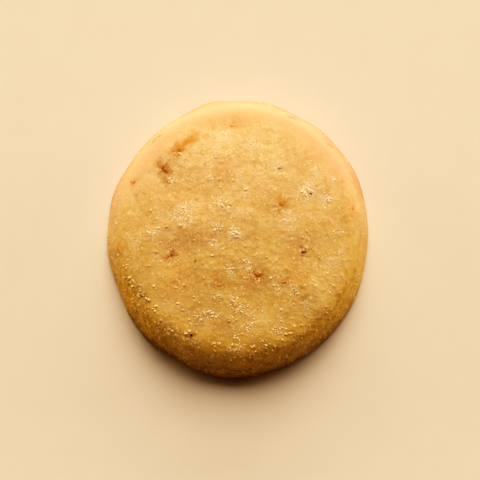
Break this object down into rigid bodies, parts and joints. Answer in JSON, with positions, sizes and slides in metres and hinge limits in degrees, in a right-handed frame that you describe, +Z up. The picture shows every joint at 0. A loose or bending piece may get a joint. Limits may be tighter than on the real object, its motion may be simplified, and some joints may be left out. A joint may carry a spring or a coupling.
{
  "type": "apricot cheese biscuit",
  "caption": "Round baked biscuit with a gently domed top, soft shoulders and a flat base, dusted with coarse grains and flecked with apricot.",
  "frame": {"origin": "middle of the flat base", "axes": "+Z up through the middle of the top, +Y towards the far edge, within nine degrees of the longer diameter, +X to the right"},
  "size_m": [0.0532, 0.0574, 0.011],
  "materials": {
    "crust": "dry golden baked dough, browner at the lower edge, matte with a fine crumb",
    "fruit": "bits of dried apricot, orange to dark red-brown, slightly shiny",
    "grain": "cream-white coarse grains, half see-through, glinting"
  },
  "bodies": {
    "root": {"biscuit": "crust"}
  },
  "joints": []
}
